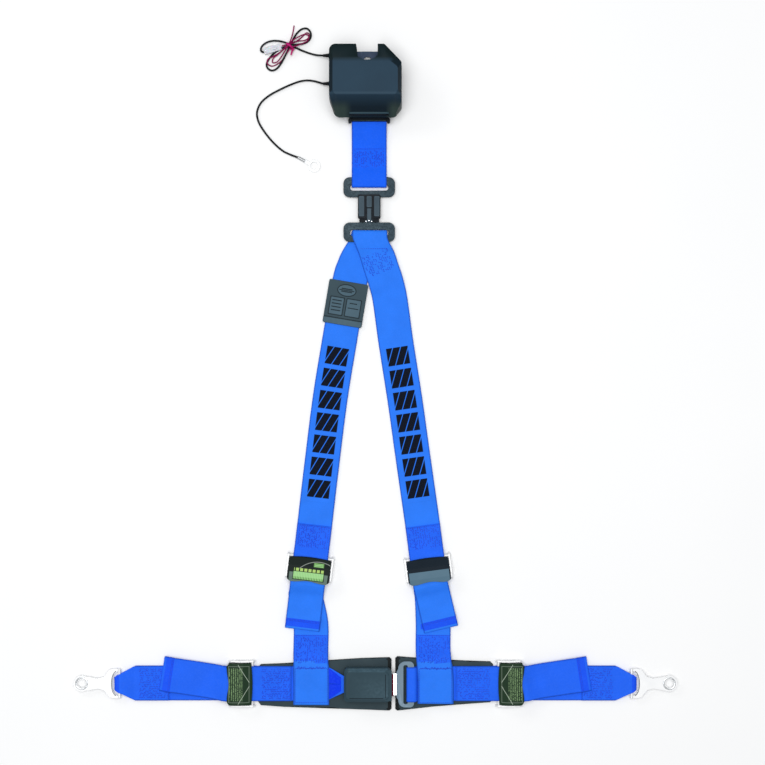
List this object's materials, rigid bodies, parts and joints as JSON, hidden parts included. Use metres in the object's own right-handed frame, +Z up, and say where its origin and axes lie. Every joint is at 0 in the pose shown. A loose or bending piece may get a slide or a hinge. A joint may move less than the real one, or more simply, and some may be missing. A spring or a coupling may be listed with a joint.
{
  "type": "racing harness",
  "caption": "Rally harness with an inertia retractor, two adjustable shoulder straps and an adjustable lap belt that closes with a push-button buckle.",
  "frame": {"origin": "centre of the laid-out harness, without its free leads, on the surface it lies on", "axes": "+X to the right along the lap belt, +Y along the back strap towards the retractor, +Z up from the surface"},
  "size_m": [0.867, 0.9852, 0.06],
  "materials": {
    "blue_webbing": "woven polyester, fine cross ribs",
    "cover_plastic": "fine moulded grain",
    "adjuster_plastic": "fine moulded grain",
    "buckle_plastic": "fine moulded grain",
    "inner_plastic": "plain moulded",
    "grip_plastic": "fine moulded grain",
    "button_red": "smooth",
    "dark_steel": "dark coated, slightly worn",
    "zinc_steel": "bright zinc plated",
    "bar_steel": "machined",
    "spring_steel": "polished",
    "cast_alloy": "die cast",
    "solenoid_paint": "satin",
    "lead_black": "smooth sleeve",
    "lead_red": "smooth sleeve",
    "tinned_steel": "tinned",
    "connector_nylon": "translucent natural nylon",
    "sleeve_rubber": "embossed",
    "pad_fabric": "close woven, stiffened",
    "tongue_chrome": "polished"
  },
  "bodies": {
    "retractor": {"retractor_cover": "cover_plastic", "retractor_frame": "dark_steel", "belt_guide": "cover_plastic", "spring_housing": "inner_plastic", "clock_spring": "spring_steel", "sensor_housing": "inner_plastic", "lock_solenoid": "solenoid_paint", "lead_grommets": "lead_black", "ground_lead": "lead_black", "ring_terminal": "tinned_steel", "feed_lead": "lead_black", "lead_hank": "lead_black", "spare_lead": "lead_red", "inline_connector": "connector_nylon"},
    "spool_body": {"spool": "cast_alloy", "webbing_roll": "blue_webbing"},
    "sensor_ball_body": {"sensor_ball": "spring_steel"},
    "pawl_body": {"lock_pawl": "bar_steel"},
    "back_strap": {"retractor_strap": "blue_webbing", "upper_plate": "dark_steel"},
    "connector": {"connector_body": "cover_plastic", "lower_plate": "dark_steel", "yoke_webbing": "blue_webbing"},
    "connector_latch_body": {"connector_latch": "spring_steel"},
    "left_half": {"left_shoulder_strap": "blue_webbing", "left_lower_strap": "blue_webbing", "left_outer_lap_belt": "blue_webbing", "left_inner_lap_belt": "blue_webbing", "left_pad": "pad_fabric", "buckle_cover": "buckle_plastic", "buckle_frame": "zinc_steel"},
    "right_half": {"right_shoulder_strap": "blue_webbing", "right_lower_strap": "blue_webbing", "right_outer_lap_belt": "blue_webbing", "right_inner_lap_belt": "blue_webbing", "right_pad": "pad_fabric", "tongue_blade": "tongue_chrome", "tongue_grip": "grip_plastic"},
    "sleeve": {"label_sleeve": "sleeve_rubber"},
    "button": {"push_button": "button_red"},
    "buckle_latch_body": {"buckle_latch": "bar_steel"},
    "ejector_body": {"ejector": "inner_plastic"},
    "left_bracket": {"left_end_bracket": "zinc_steel"},
    "right_bracket": {"right_end_bracket": "zinc_steel"},
    "left_shoulder_adjuster": {"left_shoulder_adjuster_frame": "zinc_steel", "left_shoulder_adjuster_cover": "adjuster_plastic", "left_shoulder_bar_webbing": "blue_webbing"},
    "left_shoulder_bar": {"left_shoulder_locking_bar": "bar_steel"},
    "right_shoulder_adjuster": {"right_shoulder_adjuster_frame": "zinc_steel", "right_shoulder_adjuster_cover": "adjuster_plastic", "right_shoulder_bar_webbing": "blue_webbing"},
    "right_shoulder_bar": {"right_shoulder_locking_bar": "bar_steel"},
    "left_lap_adjuster": {"left_lap_adjuster_frame": "zinc_steel", "left_lap_adjuster_cover": "adjuster_plastic", "left_lap_bar_webbing": "blue_webbing"},
    "left_lap_bar": {"left_lap_locking_bar": "bar_steel"},
    "right_lap_adjuster": {"right_lap_adjuster_frame": "zinc_steel", "right_lap_adjuster_cover": "adjuster_plastic", "right_lap_bar_webbing": "blue_webbing"},
    "right_lap_bar": {"right_lap_locking_bar": "bar_steel"}
  },
  "joints": [
    {"name": "belt_payout", "type": "slide", "parent": "retractor", "child": "back_strap", "axis": [0, -1, 0], "range_m": [0, 0.045]},
    {"name": "spool_turn", "type": "hinge", "parent": "retractor", "child": "spool_body", "pos_m": [-0.009, 0.424, 0.031], "axis": [-1, 0, 0], "range_deg": [0, 115]},
    {"name": "sensor_ball_roll", "type": "slide", "parent": "retractor", "child": "sensor_ball_body", "axis": [0, 1, 0], "range_m": [-0.0012, 0.0012]},
    {"name": "lock_pawl_turn", "type": "hinge", "parent": "retractor", "child": "pawl_body", "pos_m": [-0.0421, 0.402, 0.045], "axis": [-1, 0, 0], "range_deg": [0, 5], "stiffness_Nm_per_rad": 0.01, "springref_deg": -11.46},
    {"name": "connector_release", "type": "slide", "parent": "back_strap", "child": "connector", "axis": [0, -1, 0], "range_m": [0, 0.03]},
    {"name": "connector_latch_lift", "type": "hinge", "parent": "connector", "child": "connector_latch_body", "pos_m": [-0.009, 0.2295, 0.0089], "axis": [1, 0, 0], "range_deg": [0, 8], "stiffness_Nm_per_rad": 0.05, "springref_deg": -5.73},
    {"name": "left_half_swing", "type": "hinge", "parent": "connector", "child": "left_half", "pos_m": [-0.009, 0.21, 0.002], "axis": [0, 0, -1], "range_deg": [0, 12]},
    {"name": "right_half_swing", "type": "hinge", "parent": "connector", "child": "right_half", "pos_m": [-0.009, 0.21, 0.002], "axis": [0, 0, 1], "range_deg": [0, 12]},
    {"name": "label_sleeve_slide", "type": "slide", "parent": "left_half", "child": "sleeve", "axis": [-0.165, -0.9863, 0], "range_m": [0, 0.1]},
    {"name": "push_button_press", "type": "slide", "parent": "left_half", "child": "button", "axis": [-1, 0, 0], "range_m": [0, 0.005], "stiffness_N_per_m": 400, "springref_m": -0.002},
    {"name": "buckle_latch_lift", "type": "hinge", "parent": "left_half", "child": "buckle_latch_body", "pos_m": [-0.0084, -0.435, 0.0198], "axis": [0, -1, 0], "range_deg": [0, 5.2]},
    {"name": "ejector_slide", "type": "slide", "parent": "left_half", "child": "ejector_body", "axis": [1, 0, 0], "range_m": [0, 0.0082]},
    {"name": "left_shoulder_adjuster_tilt", "type": "hinge", "parent": "left_half", "child": "left_shoulder_adjuster", "pos_m": [-0.093, -0.254, 0.0049], "axis": [-0.993, 0.1184, 0], "range_deg": [0, 20]},
    {"name": "left_shoulder_bar_slide", "type": "slide", "parent": "left_shoulder_adjuster", "child": "left_shoulder_bar", "axis": [-0.1184, -0.993, 0], "range_m": [0, 0.002]},
    {"name": "right_shoulder_adjuster_tilt", "type": "hinge", "parent": "right_half", "child": "right_shoulder_adjuster", "pos_m": [0.074, -0.255, 0.0049], "axis": [-0.9917, -0.1288, 0], "range_deg": [0, 20]},
    {"name": "right_shoulder_bar_slide", "type": "slide", "parent": "right_shoulder_adjuster", "child": "right_shoulder_bar", "axis": [0.1288, -0.9917, 0], "range_m": [0, 0.002]},
    {"name": "left_lap_adjuster_tilt", "type": "hinge", "parent": "left_half", "child": "left_lap_adjuster", "pos_m": [-0.177, -0.435, 0.0049], "axis": [0, 1, 0], "range_deg": [0, 20]},
    {"name": "left_lap_bar_slide", "type": "slide", "parent": "left_lap_adjuster", "child": "left_lap_bar", "axis": [-1, 0, 0], "range_m": [0, 0.002]},
    {"name": "right_lap_adjuster_tilt", "type": "hinge", "parent": "right_half", "child": "right_lap_adjuster", "pos_m": [0.177, -0.435, 0.0049], "axis": [0, -1, 0], "range_deg": [0, 20]},
    {"name": "right_lap_bar_slide", "type": "slide", "parent": "right_lap_adjuster", "child": "right_lap_bar", "axis": [1, 0, 0], "range_m": [0, 0.002]},
    {"name": "left_bracket_tilt", "type": "hinge", "parent": "left_half", "child": "left_bracket", "pos_m": [-0.368, -0.435, 0.0055], "axis": [0, 1, 0], "range_deg": [0, 75]},
    {"name": "right_bracket_tilt", "type": "hinge", "parent": "right_half", "child": "right_bracket", "pos_m": [0.368, -0.435, 0.0055], "axis": [0, -1, 0], "range_deg": [0, 75]}
  ],
  "couplings": [
    {"joint": "spool_turn", "follows": "belt_payout", "rad_per_m": 44.248},
    {"joint": "buckle_latch_lift", "follows": "push_button_press", "rad_per_m": 17.453},
    {"joint": "ejector_slide", "follows": "right_half_swing", "m_per_rad": 0.0382}
  ]
}
